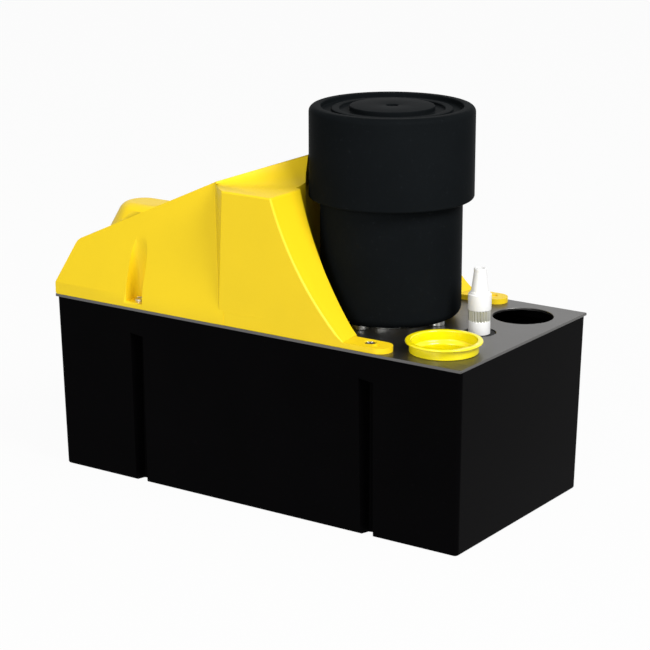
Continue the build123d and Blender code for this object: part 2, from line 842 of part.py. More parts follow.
def make_volute_base():
    low = volute_floor_z - base_thickness
    base = tube(volute_radius, eye_radius, low, volute_floor_z, motor_x)
    hole = disc(1.6 + running, low - 1, volute_floor_z + 1)
    return base - around(4, hole, motor_x, bolt_circle)


def make_volute_screws():
    low = volute_floor_z - base_thickness
    screw = Rot(180, 0, 0) * pan_screw(volute_top + 3 - low, 1.6, 2.8, 1.8)
    return around(4, Pos(0, 0, low) * screw, motor_x, bolt_circle)


def make_strainer():
    high = volute_floor_z - base_thickness
    low = high - strainer_height
    cup = disc(strainer_radius, low, high, motor_x) - disc(strainer_radius - 1.6, low + 2, high + 1, motor_x)
    slot = block(0, strainer_radius + 2, -1.2, 1.2, low + 3, high - 3)
    return cup - around(12, slot, motor_x, 0, 15)


def make_hose():
    """The delivery hose from the volute up to the spigot under the valve."""
    origin = (outlet_frame() * Pos(hose_start, 0, 0)).position
    corner = Vector(valve_x, 0, outlet_z)
    top = Vector(valve_x, 0, boss_low - 1)
    path = FilletPolyline(origin, corner, top, radius=hose_bend)
    ring = Circle(hose_radius) - Circle(spigot_radius + seat)
    return sweep(Plane(origin=origin, z_dir=(corner - origin)) * ring, path=path)


def make_hose_clips():
    inner = hose_radius + seat
    band = tube(inner + 0.8, inner, -3, 3)
    band += block(inner + 0.2, inner + 5, -4, 4, -3, 3)
    upper = Pos(valve_x, 0, boss_low - spigot_length / 2) * band
    lower = outlet_frame() * Pos(spigot_end - spigot_length / 2, 0, 0) * Rot(0, 90, 0) * band
    return [upper, lower]


# Outlet valve -------------------------------------------------------------------------------

valve_low = boss_low + 3
valve_seat_z = lid_top - 2
poppet_z = valve_seat_z


def make_valve_body():
    top = lid_top + valve_body_top
    body = disc(valve_radius, valve_low, top, valve_x)
    body -= disc(3.2, valve_low - 1, valve_seat_z, valve_x)
    body -= disc(valve_bore, valve_seat_z, top + 1, valve_x)
    return body


def make_valve_ring():
    low, high = lid_top + valve_body_top, lid_top + valve_ring_top
    ring = disc(valve_radius - 0.3, low, high)
    rib = block(valve_radius - 0.6, valve_radius + 0.2, -0.45, 0.45, low, high)
    for copy in around(20, rib, 0):
        ring += copy
    return Pos(valve_x, 0, 0) * (ring - disc(valve_bore, low - 1, high + 1))


def make_valve_nozzle():
    low, high = lid_top + valve_ring_top, lid_top + valve_collar_top
    collar = disc(valve_collar_radius, low, high)
    collar += disc(barb_root_radius + 0.8, high, lid_top + barb_base)
    barb_low, barb_high = lid_top + barb_base, lid_top + barb_top
    cone_height = barb_high - barb_tip_land - barb_low
    cone = Cone(barb_root_radius, barb_tip_radius, cone_height, align=(Align.CENTER, Align.CENTER, Align.MIN))
    collar += Pos(0, 0, barb_low) * cone
    collar += disc(barb_tip_radius, barb_high - barb_tip_land, barb_high)
    collar -= disc(barb_bore, low - 1, barb_high + 1)
    collar -= disc(valve_bore, low - 1, low + 6)
    return Pos(valve_x, 0, 0) * collar


def make_valve_seal():
    return tube(valve_radius + 3.2, valve_radius + running, lid_top - lid_thickness, lid_top - 0.4, valve_x)


def make_poppet():
    head = disc(valve_bore - 0.5, poppet_z, poppet_z + 2.0)
    return Pos(valve_x, 0, 0) * (head + disc(1.3, poppet_z, poppet_z + 10))


def make_valve_spring():
    low = poppet_z + 2.0
    high = lid_top + valve_ring_top + 6
    wire = 0.35
    path = Helix(pitch=(high - low - 2 * wire) / 6, height=high - low - 2 * wire, radius=2.6)
    start = path @ 0
    coil = sweep(Plane(origin=start, z_dir=path % 0) * Circle(wire), path=path, is_frenet=True)
    return Pos(valve_x, 0, low + wire) * coil


# Inlet cup ----------------------------------------------------------------------------------


def make_cup():
    top = lid_top + cup_height
    outer = cup_socket_radius + cup_wall
    spigot = inlet_radius - running
    cup = disc(outer, lid_top, top)
    cup += disc(cup_flange_radius, top - cup_flange, top)
    cup += disc(spigot, lid_top - cup_spigot, lid_top)
    cup -= disc(cup_socket_radius, lid_top + cup_funnel_top, top + 1)
    bore = spigot - cup_spigot_wall
    cup -= disc(bore, lid_top - cup_spigot - 1, top)
    funnel = Cone(bore, cup_socket_radius, cup_funnel, align=(Align.CENTER, Align.CENTER, Align.MAX))
    cup -= Pos(0, 0, lid_top + cup_funnel_top) * funnel
    rim = [e for e in cup.edges().filter_by(GeomType.CIRCLE) if e.radius > cup_flange_radius - 0.1]
    cup = fillet(rim, 0.6)
    lead = [e for e in cup.edges().filter_by(GeomType.CIRCLE) if abs((e @ 0).Z - top) < 0.01]
    cup = chamfer([e for e in lead if abs(e.radius - cup_socket_radius) < 0.1], 1.2)
    return Pos(inlet_x, -inlet_y, 0) * cup


# Floats and switches ------------------------------------------------------------------------

pivot_z = lid_top + pivot_height
tip_x = rod_x - 5.0
pivot_x = tip_x - lever_length


def make_float(y, low):
    body = disc(float_radius, low, low + float_height)
    body = fillet(body.edges().filter_by(GeomType.CIRCLE), 4.0)
    return Pos(rod_x, y, 0) * (body - disc(rod_radius + seat / 2, low - 1, low + float_height + 1))


def make_rod(y, float_low, travel):
    low = float_low - 4
    top = pivot_z - travel / 2 - spool_gap / 2 - spool_plate
    rod = disc(rod_radius, low, top) + disc(rod_radius + 1.5, low, float_low)
    rod += disc(rod_radius + 1.5, float_low + float_height, float_low + float_height + 2)
    return Pos(rod_x, y, 0) * rod


def make_spool(y, travel):
    middle = pivot_z - travel / 2
    low = middle - spool_gap / 2 - spool_plate
    spool = disc(rod_radius, low, middle + spool_gap / 2 + spool_plate)
    spool += disc(spool_radius, low, low + spool_plate)
    spool += disc(spool_radius, low + spool_plate + spool_gap, low + 2 * spool_plate + spool_gap)
    return Pos(rod_x, y, 0) * spool


def make_lever(y, travel):
    """A lever drawn level about its pivot, then turned down to the float's lowest place."""
    half = lever_thickness / 2
    bar = block(-9, lever_length, -lever_width / 2, lever_width / 2, -half, half)
    tip = Pos(lever_length, 0, 0) * Rot(90, 0, 0) * Cylinder(lever_tip_radius, lever_width)
    hub = Rot(90, 0, 0) * Cylinder(3.0, lever_width)
    lever = bar + tip + hub - Rot(90, 0, 0) * Cylinder(pivot_radius + running, lever_width + 2)
    turn = math.degrees(travel / 2 / lever_length)
    return Pos(pivot_x, y, pivot_z) * Rot(0, turn, 0) * lever


def make_switch_bracket():
    foot = block(pivot_x - 22, pivot_x + 6, alarm_y - 10, run_y + 10, lid_top, lid_top + 1.6)
    bracket = foot
    for y in (run_y, alarm_y):
        for side in (-1, 1):
            middle = y + side * (lever_width / 2 + 1.6)
            ear = block(pivot_x - 5, pivot_x + 5, middle - 0.8, middle + 0.8, lid_top, pivot_z + 5)
            hole = Pos(pivot_x, middle, pivot_z) * Rot(90, 0, 0) * Cylinder(pivot_radius + seat / 2, 4)
            bracket += ear - hole
    return bracket


def make_pivot_pins():
    pin = Rot(90, 0, 0) * Cylinder(pivot_radius, lever_width + 7)
    head = Pos(0, lever_width / 2 + 4, 0) * Rot(90, 0, 0) * Cylinder(pivot_radius + 1, 1)
    return [Pos(pivot_x, y, pivot_z) * (pin + head) for y in (run_y, alarm_y)]


def make_switch(y):
    low = lid_top + 1.6
    body = block(pivot_x - 21, pivot_x - 6, y - 5, y + 5, low, low + 15)
    for x in (pivot_x - 18, pivot_x - 13.5, pivot_x - 9):
        body += block(x - 0.4, x + 0.4, y + 5, y + 9, low + 3, low + 6)
    return body + disc(1.2, low + 15, low + 16.5, pivot_x - 9, y)


def make_float_guides():
    guides = []
    for y in (run_y, alarm_y):
        guide = disc(guide_radius, tank_height - 8, lid_top) + disc(guide_flange, lid_top, lid_top + 2)
        guide -= disc(rod_radius + running, tank_height - 9, lid_top + 3)
        guides.append(Pos(rod_x, y, 0) * guide)
    return guides


# Electrical parts ---------------------------------------------------------------------------

board_z = lid_top + board_height
gland_frame = Pos(gland_pocket_x, gland_y, lid_top + gland_height) * Rot(0, -90, 0)


def make_gland():
    end = gland_flange + gland_dome
    body = disc(gland_hole_radius - running, -gland_thread, 0)
    body += hexagon(gland_across_flats, 0, gland_flange) + disc(gland_dome_radius, gland_flange, end)
    body = fillet(body.edges().group_by(Axis.Z)[-1], gland_dome_radius / 4)
    return gland_frame * (body - disc(gland_bore, -gland_thread - 1, end + 1))


def make_gland_nut():
    low = -cover_wall - 4
    nut = hexagon(gland_across_flats, low, -cover_wall) - disc(gland_hole_radius, low - 1, -cover_wall + 1)
    return gland_frame * Rot(0, 0, 30) * nut


def board_corners():
    x, y = board_length / 2 - 4, board_width / 2 - 4
    return [(board_x + sx * x, board_y + sy * y) for sx in (-1, 1) for sy in (-1, 1)]


def make_board():
    x, y = board_length / 2, board_width / 2
    board = block(board_x - x, board_x + x, board_y - y, board_y + y, board_z, board_z + board_thickness)
    for px, py in board_corners():
        board -= disc(1.6, board_z - 1, board_z + 2 * board_thickness, px, py)
    return board


def make_standoffs():
    return [tube(3.0, 1.5 + seat, lid_top, board_z, x, y) for x, y in board_corners()]


def make_board_screws():
    screw = pan_screw(board_height - 1, 1.5, 2.7, 1.6)
    return [Pos(x, y, board_z + board_thickness) * screw for x, y in board_corners()]


def make_terminal_block():
    low = board_z + board_thickness
    top = low + terminal_height
    left = board_x - board_length / 2 + 3
    half = terminal_length / 2
    pitch = terminal_length / terminal_ways
    strip = block(left, left + terminal_width, board_y - half, board_y + half, low, top)
    for i in range(terminal_ways):
        y = board_y - half + (i + 0.5) * pitch
        strip -= disc(0.27 * pitch, top - 3, top + 1, left + 0.6 * terminal_width, y)
        mouth = 0.3 * pitch
        strip -= block(left - 1, left + 0.4 * terminal_width, y - mouth, y + mouth, low + 2, low + 7)
    return strip


def make_relays():
    low = board_z + board_thickness
    relays = []
    for y in (board_y - 0.7 * relay_width, board_y + 0.7 * relay_width):
        near, far = y - relay_width / 2, y + relay_width / 2
        relay = block(board_x + 0.5, board_x + 0.5 + relay_length, near, far, low, low + relay_height)
        relays.append(fillet(relay.edges().group_by(Axis.Z)[-1], 0.8))
    return relays


def make_capacitor():
    can = disc(capacitor_radius, lid_top, lid_top + capacitor_height, hump_x, hump_y)
    can = fillet(can.edges().group_by(Axis.Z)[-1], 2.0)
    top = lid_top + capacitor_height
    for side in (-1, 1):
        middle = hump_y + side * 5
        can += block(hump_x - 0.4, hump_x + 0.4, middle - 3, middle + 3, top - 1, top + 7)
    return can


pieces = {
    "tank": make_tank(),
    "lid_seal": seal_ring(0, 0),
    "lid_plate": make_lid(),
    "cover": make_cover(),
    "cover_screws": make_cover_screws(),
    "motor_mount_ring": make_mount_ring(),
    "motor_shroud": make_shroud(),
    "motor_cap": make_cap(),
    "stator_core": make_stator_core(),
    "stator_windings": make_windings(),
    "lower_motor_bracket": make_lower_bracket(),
    "upper_motor_bracket": make_upper_bracket(),
    "lower_bearing": make_bearing(lower_bearing_z),
    "upper_bearing": make_bearing(upper_bearing_z),
    "through_bolts": make_through_bolts(),
    "motor_shaft": make_shaft(),
    "rotor_core": make_rotor(),
    "cooling_fan": make_fan(),
    "water_slinger": make_slinger(),
    "impeller": make_impeller(),
    "impeller_nut": make_impeller_nut(),
    "pump_column": make_column(),
    "volute": make_volute(),
    "volute_base": make_volute_base(),
    "volute_screws": make_volute_screws(),
    "intake_strainer": make_strainer(),
    "delivery_hose": make_hose(),
    "hose_clips": make_hose_clips(),
    "valve_body": make_valve_body(),
    "valve_ring": make_valve_ring(),
    "valve_nozzle": make_valve_nozzle(),
    "valve_seal": make_valve_seal(),
    "valve_poppet": make_poppet(),
    "valve_spring": make_valve_spring(),
    "inlet_cup": make_cup(),
    "run_float": make_float(run_y, run_float_z),
    "run_float_rod": make_rod(run_y, run_float_z, run_travel),
    "run_rod_spool": make_spool(run_y, run_travel),
    "run_lever": make_lever(run_y, run_travel),
    "alarm_float": make_float(alarm_y, alarm_float_z),
    "alarm_float_rod": make_rod(alarm_y, alarm_float_z, alarm_travel),
    "alarm_rod_spool": make_spool(alarm_y, alarm_travel),
    "alarm_lever": make_lever(alarm_y, alarm_travel),
    "switch_bracket": make_switch_bracket(),
    "lever_pins": make_pivot_pins(),
    "run_switch": make_switch(run_y),
    "alarm_switch": make_switch(alarm_y),
    "float_guides": make_float_guides(),
    "cable_gland": make_gland(),
    "gland_nut": make_gland_nut(),
    "circuit_board": make_board(),
    "board_standoffs": make_standoffs(),
    "board_screws": make_board_screws(),
    "terminal_block": make_terminal_block(),
    "relays": make_relays(),
    "run_capacitor": make_capacitor(),
}

os.makedirs("parts", exist_ok=True)
for name, shape in pieces.items():
    solid = Compound(children=list(shape)) if isinstance(shape, list) else shape
    export_step(solid, f"parts/{name}.step")
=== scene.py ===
"""Condensate pump: finished surfaces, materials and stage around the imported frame.

Lengths are metres in the frame's own axes: X along the tank towards the outlet end, Y towards its back, Z up.
"""

import math

import bmesh
import bpy
import numpy as np
from bpy.props import FloatProperty, FloatVectorProperty, IntProperty, PointerProperty
from bpy.types import Operator, Panel, PropertyGroup
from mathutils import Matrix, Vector


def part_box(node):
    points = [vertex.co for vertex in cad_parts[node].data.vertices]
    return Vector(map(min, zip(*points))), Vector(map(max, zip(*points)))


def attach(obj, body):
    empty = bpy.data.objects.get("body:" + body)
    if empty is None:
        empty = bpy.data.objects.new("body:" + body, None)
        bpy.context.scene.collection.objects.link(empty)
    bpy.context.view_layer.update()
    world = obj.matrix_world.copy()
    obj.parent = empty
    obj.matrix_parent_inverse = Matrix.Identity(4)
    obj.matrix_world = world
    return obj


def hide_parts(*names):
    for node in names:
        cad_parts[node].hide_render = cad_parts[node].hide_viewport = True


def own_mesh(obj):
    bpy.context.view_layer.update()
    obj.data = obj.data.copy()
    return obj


bl_info = {
    "name": "Condensate Pump",
    "version": (1, 0, 0),
    "blender": (4, 5, 0),
    "location": "View3D > Sidebar > Pump",
    "description": "Builds the finished surfaces of a condensate tank pump",
    "category": "Add Mesh",
}

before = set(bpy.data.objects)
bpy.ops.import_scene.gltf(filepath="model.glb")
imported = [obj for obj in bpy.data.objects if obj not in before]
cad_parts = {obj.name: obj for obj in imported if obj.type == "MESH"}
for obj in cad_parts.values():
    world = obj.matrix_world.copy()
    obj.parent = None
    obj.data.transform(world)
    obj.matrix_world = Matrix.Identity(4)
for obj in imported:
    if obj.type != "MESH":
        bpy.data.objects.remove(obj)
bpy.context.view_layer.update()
MM = 0.001


def box_mm(node):
    """Lowest and highest corner of a CAD node in millimetres."""
    low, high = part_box(node)
    return np.array(low) / MM, np.array(high) / MM


def round_mm(node):
    """Outer radius, foot and top of a round CAD node in millimetres."""
    low, high = box_mm(node)
    return (high[0] - low[0]) / 2, low[2], high[2]


def centre_of(node):
    """Plan centre of a round CAD node, in metres."""
    low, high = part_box(node)
    return (low.x + high.x) / 2, (low.y + high.y) / 2


# Sizes and colours a user would change ------------------------------------------------------


def length(name, description, default):
    """Property for a length in metres."""
    kind = {"min": 0.0, "unit": "LENGTH", "subtype": "DISTANCE", "precision": 5}
    return FloatProperty(name=name, description=description, default=default, **kind)


def colour(name, description, default):
    """Property for a colour."""
    kind = {"size": 3, "min": 0.0, "max": 1.0, "subtype": "COLOR"}
    return FloatVectorProperty(name=name, description=description, default=default, **kind)


class PumpEdges(PropertyGroup):
    cover: length("Cover edges", "Radius of the yellow cover's moulded edges", 0.0011)
    tank: length("Tank edges", "Radius of the tank's moulded edges", 0.0007)
    lid: length("Sheet edges", "Radius where the lid and the motor's ring were sheared", 0.00035)
    cap: length("Cap rings", "Radius of the edges of the rings in the motor cap", 0.0007)
    turned: length("Valve edges", "Radius of the edges of the valve's body and nozzle", 0.0005)


class PumpKnurl(PropertyGroup):
    ridges: IntProperty(name="Ridges", description="Number of grip ridges round the ring", default=22, min=6)
    depth: length("Ridge depth", "Height of a grip ridge above its groove", 0.0008)


class PumpColours(PropertyGroup):
    cover: colour("Cover", "Yellow of the moulded cover", (0.89, 0.628, 0.010))
    cup: colour("Cup", "Lemon yellow of the inlet cup", (0.95, 0.80, 0.002))
    tank: colour("Tank", "Black of the moulded tank", (0.0012, 0.0011, 0.0013))
    motor: colour("Motor", "Black of the motor shroud and cap", (0.0055, 0.0066, 0.0074))
    lid: colour("Lid", "Grey of the lid's steel sheet", (0.135, 0.132, 0.129))
    white: colour("Valve white", "White of the valve's mouldings", (0.80, 0.80, 0.79))


# Shader expressions -------------------------------------------------------------------------


class Wire:
    """A shader socket that takes part in arithmetic: an expression adds its Math nodes."""

    def __init__(self, owner, socket):
        self.owner = owner
        self.socket = socket

    def math(self, operation, *values):
        """A Math node on values and wires, in the order of its sockets."""
        return self.owner.node("ShaderNodeMath", {"operation": operation}, dict(enumerate(values)))

    def __add__(self, other):
        return self.math("ADD", self, other)

    def __mul__(self, other):
        return self.math("MULTIPLY", self, other)

    def __pow__(self, other):
        return self.math("POWER", self, other)

    def __rsub__(self, other):
        return self.math("SUBTRACT", other, self)

    __radd__ = __add__
    __rmul__ = __mul__

    def either(self, other):
        """The greater of two values."""
        return self.math("MAXIMUM", self, other)

    def sine(self):
        return self.math("SINE", self)

    def wave(self):
        """Sine of the value, brought to 0 to 1."""
        return self.sine() * 0.5 + 0.5

    def ramp(self, low, high):
        """Smooth step from 0 at low to 1 at high."""
        inputs = {"Value": self, "From Min": low, "From Max": high}
        return self.owner.node("ShaderNodeMapRange", {"interpolation_type": "SMOOTHSTEP"}, inputs)


class Nodes:
    """The node tree of a material or a world, made in code."""

    def __init__(self, data):
        data.use_nodes = True
        self.data = data
        self.tree = data.node_tree
        self.tree.nodes.clear()

    def node(self, kind, settings=None, inputs=None, output=0):
        """Adds a node: its settings first, then the values or links of its sockets."""
        made = self.tree.nodes.new(kind)
        for name, value in (settings or {}).items():
            setattr(made, name, value)
        for name, value in (inputs or {}).items():
            if isinstance(value, Wire):
                self.tree.links.new(value.socket, made.inputs[name])
            else:
                made.inputs[name].default_value = value
        return Wire(self, made.outputs[output]) if made.outputs else None

    def seen(self):
        """1 for rays that show the background: camera, glossy and transmission."""
        names = ("Is Camera Ray", "Is Glossy Ray", "Is Transmission Ray")
        camera, glossy, through = (self.node("ShaderNodeLightPath", output=name) for name in names)
        return camera.either(glossy).either(through)


class Finish(Nodes):
    """A node material with one Principled surface."""

    # The Mix node has a socket of the same name for every kind of value, so its colours go by number.
    MIX_SHARE, MIX_LOW, MIX_HIGH, MIX_RESULT = 0, 6, 7, 2

    def __init__(self, name, **constants):
        super().__init__(bpy.data.materials.new(name))
        values = {socket.replace("_", " "): value for socket, value in constants.items()}
        surface = self.node("ShaderNodeBsdfPrincipled", {}, values)
        self.node("ShaderNodeOutputMaterial", {}, {"Surface": surface})
        self.surface = surface.socket.node

    def place(self, stretch=(1.0, 1.0, 1.0), centre=(0.0, 0.0, 0.0)):
        """Object coordinates, centred and stretched."""
        where = self.node("ShaderNodeTexCoord", output="Object")
        shift = tuple(-c * s for c, s in zip(centre, stretch))
        return self.node("ShaderNodeMapping", {}, {"Vector": where, "Location": shift, "Scale": stretch})

    def noise(self, scale, detail, roughness=0.5, where=None):
        inputs = {"Scale": scale, "Detail": detail, "Roughness": roughness}
        inputs["Vector"] = where or self.place()
        return self.node("ShaderNodeTexNoise", {"normalize": True}, inputs)

    def cells(self, scale):
        return self.node("ShaderNodeTexVoronoi", {}, {"Scale": scale, "Vector": self.place()})

    def axis(self, name, where=None):
        return self.node("ShaderNodeSeparateXYZ", {}, {"Vector": where or self.place()}, name)

    def reach(self, centre):
        """Distance from a vertical axis."""
        where = self.place(centre=(*centre, 0.0))
        x, y = self.axis("X", where), self.axis("Y", where)
        return (x * x + y * y) ** 0.5

    def mix(self, low, high, share):
        """Colour that goes from low to high as share goes from 0 to 1."""
        low, high = ((*c, 1.0) if isinstance(c, tuple) else c for c in (low, high))
        inputs = {self.MIX_SHARE: share, self.MIX_LOW: low, self.MIX_HIGH: high}
        return self.node("ShaderNodeMix", {"data_type": "RGBA"}, inputs, self.MIX_RESULT)

    def bump(self, height, distance, strength):
        inputs = {"Height": height, "Distance": distance, "Strength": strength}
        return self.node("ShaderNodeBump", {}, inputs)

    def feed(self, **links):
        """Links expressions to the surface's sockets and gives the material."""
        for socket, wire in links.items():
            self.tree.links.new(wire.socket, self.surface.inputs[socket.replace("_", " ")])
        return self.data


def scaled(tint, factor):
    """A colour made lighter or darker."""
    return tuple(min(1.0, c * factor) for c in tint)


# Finishes -----------------------------------------------------------------------------------


def moulded(name, tint, roughness, spread=0.05, grain=0.00001, **constants):
    """Moulded plastic: slow shade drift from flow, fine tool grain in the bump, patchy gloss."""
    f = Finish(name, **constants)
    flow = f.noise(scale=26.0, detail=3.0)
    speck = f.noise(scale=900.0, detail=2.0)
    gloss = f.noise(scale=60.0, detail=4.0)
    skin = f.noise(scale=1500.0, detail=3.0, roughness=0.6)
    base = f.mix(scaled(tint, 0.94), scaled(tint, 1.05), flow * 0.75 + speck * 0.25)
    rough = gloss * (2 * spread) + (roughness - spread)
    return f.feed(Base_Color=base, Roughness=rough, Normal=f.bump(skin, grain, 0.5))


def black_plastic(name, tint, roughness, ior, grain):
    """Black moulding: nearly all its tone is a soft sheen, so the gloss drifts slowly."""
    f = Finish(name, IOR=ior)
    drift = f.noise(scale=18.0, detail=3.0)
    dust = f.noise(scale=420.0, detail=3.0, roughness=0.65).ramp(0.60, 0.80)
    skin = f.noise(scale=1300.0, detail=3.0, roughness=0.6)
    shade = f.mix(scaled(tint, 0.7), scaled(tint, 1.4), drift)
    base = f.mix(shade, scaled(tint, 4.0), dust * 0.35)
    rough = drift * 0.10 + dust * 0.06 + (roughness - 0.07)
    return f.feed(Base_Color=base, Roughness=rough, Normal=f.bump(skin, grain, 0.5))


def sheet_steel(name, tint):
    """Rolled sheet: long fine grain along X, soft clouding and a few rub marks."""
    f = Finish(name, Metallic=1.0)
    grain = f.noise(1.0, 4.0, 0.6, f.place((40.0, 2600.0, 400.0)))
    cloud = f.noise(scale=22.0, detail=3.0)
    marks = f.noise(1.0, 2.0, 0.5, f.place((14.0, 520.0, 14.0))).ramp(0.66, 0.78)
    base = f.mix(scaled(tint, 0.86), scaled(tint, 1.08), grain * 0.5 + cloud * 0.5)
    rough = grain * 0.10 + cloud * 0.08 + marks * 0.10 + 0.30
    return f.feed(Base_Color=base, Roughness=rough, Normal=f.bump(grain, 0.000004, 0.6))


def turned_metal(name, tint, roughness, centre=(0.0, 0.0)):
    """Turned or rolled bright metal: rings round a vertical axis, faint tarnish."""
    f = Finish(name, Metallic=1.0)
    rings = (f.reach(centre) * 14000.0).wave()
    tarnish = f.noise(scale=70.0, detail=4.0)
    base = f.mix(scaled(tint, 0.78), scaled(tint, 1.06), tarnish)
    rough = tarnish * 0.16 + rings * 0.06 + (roughness - 0.08)
    return f.feed(Base_Color=base, Roughness=rough, Normal=f.bump(rings, 0.000003, 0.4))


def cast_metal(name, tint):
    """Die-cast alloy: pebbled skin, dull patches."""
    f = Finish(name, Metallic=0.85)
    pebble = f.cells(700.0)
    patch = f.noise(scale=45.0, detail=5.0, roughness=0.6)
    base = f.mix(scaled(tint, 0.75), scaled(tint, 1.08), patch)
    return f.feed(Base_Color=base, Roughness=patch * 0.2 + 0.36, Normal=f.bump(pebble, 0.00006, 0.6))


def stacked(name, tint, pitch):
    """Thin sheets stacked along Z: a dark joint at every pitch."""
    f = Finish(name, Metallic=0.8)
    sheet = (f.axis("Z") * (2 * math.pi / pitch)).wave()
    patch = f.noise(scale=90.0, detail=3.0)
    base = f.mix(scaled(tint, 0.35), tint, sheet.ramp(0.1, 0.5) * (patch * 0.3 + 0.7))
    return f.feed(Base_Color=base, Roughness=patch * 0.2 + 0.4, Normal=f.bump(sheet, 0.00008, 0.7))


def wound(name, tint, centre):
    """Varnished copper turns that run round the motor's axis, with painted shade in the grooves between them.
    """
    f = Finish(name, Metallic=0.9, Coat_Weight=0.5, Coat_Roughness=0.12)
    across = f.reach(centre) + f.axis("Z")
    wobble = f.noise(scale=120.0, detail=2.0) * 1.6
    wires = (across * 7800.0 + wobble).wave()
    # The copper is painted darker where neighbouring turns meet: painted shade in the grooves between turns.
    base = f.mix(scaled(tint, 0.35), tint, wires.ramp(0.05, 0.6))
    return f.feed(Base_Color=base, Roughness=0.42 - wires * 0.12, Normal=f.bump(wires, 0.00025, 0.8))


def rubber(name, tint):
    """Moulded rubber: a pale bloom in soft patches over a fine skin."""
    f = Finish(name, IOR=1.15)
    bloom = f.noise(scale=55.0, detail=4.0)
    skin = f.noise(scale=2200.0, detail=2.0)
    base = f.mix(tint, scaled(tint, 2.2), bloom)
    return f.feed(Base_Color=base, Roughness=bloom * 0.12 + 0.58, Normal=f.bump(skin, 0.00002, 0.6))


def foam(name, tint):
    """Closed-cell float foam: a skin of small blown cells."""
    f = Finish(name, Subsurface_Weight=0.05)
    cell = f.cells(520.0)
    tone = f.noise(scale=60.0, detail=3.0)
    base = f.mix(scaled(tint, 0.88), tint, tone)
    return f.feed(Base_Color=base, Roughness=tone * 0.1 + 0.62, Normal=f.bump(cell, 0.00012, 0.5))


def board_laminate(name, tint):
    """Circuit board: woven glass under solder mask, with paler printed runs."""
    f = Finish(name, Coat_Weight=0.4, Coat_Roughness=0.2)
    x, y = f.axis("X"), f.axis("Y")
    weave = (x * 5200.0).sine() * (y * 5200.0).sine() * 0.5 + 0.5
    runs = (f.noise(scale=160.0, detail=0.0) * 40.0).sine().ramp(0.55, 0.75)
    base = f.mix(f.mix(scaled(tint, 0.7), tint, weave), scaled(tint, 2.4), runs)
    return f.feed(Base_Color=base, Roughness=weave * 0.08 + 0.3, Normal=f.bump(runs, 0.00003, 0.6))


# Surfaces -----------------------------------------------------------------------------------

DOUBLE = 2e-6  # points nearer than this are one point
SPECK = 1e-6  # edges shorter than this are closed up
FLAT = math.radians(0.6)  # faces that meet at less than this are joined
FACE_ROOM = 2.5  # width of a face beside a bevel, in radii
END_ROOM = 2.0  # length of an edge that meets a bevel's end, in radii
ALONG = 0.94  # cosine past which an edge at the end runs along the bevel


def rounded(points, radii, steps=7):
    """Closed outline whose corners are arcs: corner p of radius r becomes the arc about
    c = p + (u + v) / |u + v| * r / sin(a), where u, v point along its sides and 2a is the
    angle between them."""
    p = np.asarray(points, float)
    back, ahead = np.roll(p, 1, 0) - p, np.roll(p, -1, 0) - p
    room_back, room_ahead = np.linalg.norm(back, axis=1), np.linalg.norm(ahead, axis=1)
    u, v = back / room_back[:, None], ahead / room_ahead[:, None]
    a = 0.5 * np.arccos(np.clip((u * v).sum(1), -1, 1))
    most = 0.49 * np.minimum(room_back, room_ahead) * np.tan(a)
    r = np.minimum(np.broadcast_to(radii, len(p)), most)
    bisector = u + v
    bisector /= np.maximum(np.linalg.norm(bisector, axis=1), 1e-9)[:, None]
    centre = p + bisector * (r / np.sin(a))[:, None]
    start = p + u * (r / np.tan(a))[:, None] - centre
    end = p + v * (r / np.tan(a))[:, None] - centre
    sweep = math.pi - 2 * a
    s = np.linspace(0, 1, steps)[None, :, None]
    w = sweep[:, None, None]
    arc = (np.sin((1 - s) * w) * start[:, None] + np.sin(s * w) * end[:, None]) / np.sin(w)
    return (centre[:, None] + arc).reshape(-1, 2)


def grid_faces(rows, columns, wrap_rows=True):
    """Quads of a grid that closes across its columns, and across its rows where asked."""
    i = np.arange(rows if wrap_rows else rows - 1)[:, None]
    j = np.arange(columns)[None, :]
    i2, j2 = (i + 1) % rows, (j + 1) % columns
    corners = [i * columns + j, i * columns + j2, i2 * columns + j2, i2 * columns + j]
    return np.stack(np.broadcast_arrays(*corners), -1).reshape(-1, 4)


def mesh_piece(name, points, faces, sharp=38.0):
    """Mesh object from whole arrays of points and faces."""
    mesh = bpy.data.meshes.new(name)
    mesh.from_pydata(points, [], faces)
    return finish_mesh(name, mesh, sharp)


def finish_mesh(name, mesh, sharp):
    """Object of a mesh whose doubles are merged, with faces outwards, sharp only past an angle."""
    bm = bmesh.new()
    bm.from_mesh(mesh)
    bmesh.ops.remove_doubles(bm, verts=bm.verts, dist=DOUBLE)
    bmesh.ops.dissolve_degenerate(bm, edges=bm.edges, dist=SPECK)
    bmesh.ops.recalc_face_normals(bm, faces=bm.faces)
    bm.to_mesh(mesh)
    bm.free()
    mesh.polygons.foreach_set("use_smooth", np.ones(len(mesh.polygons), bool))
    mesh.set_sharp_from_angle(angle=math.radians(sharp))
    piece = bpy.data.objects.new(name, mesh)
    bpy.context.scene.collection.objects.link(piece)
    return piece


def lathe(name, outline, centre, turns, wave=None):
    """Body of revolution: point(s, t) = centre + (r(s) cos t, r(s) sin t, z(s)), with t from 0 to 2 pi.
    Outline is a closed loop of (r, z) in millimetres. wave(r, z, t) changes the radius round the turn."""
    t = np.linspace(0, 2 * math.pi, turns, endpoint=False)[None, :]
    r, z = outline[:, 0][:, None] * MM, outline[:, 1][:, None] * MM
    radius = wave(r, z, t) if wave else r + 0 * t
    x, y = centre[0] + radius * np.cos(t), centre[1] + radius * np.sin(t)
    points = np.stack([x, y, z + 0 * t], -1).reshape(-1, 3)
    return mesh_piece(name, points, grid_faces(len(outline), turns))


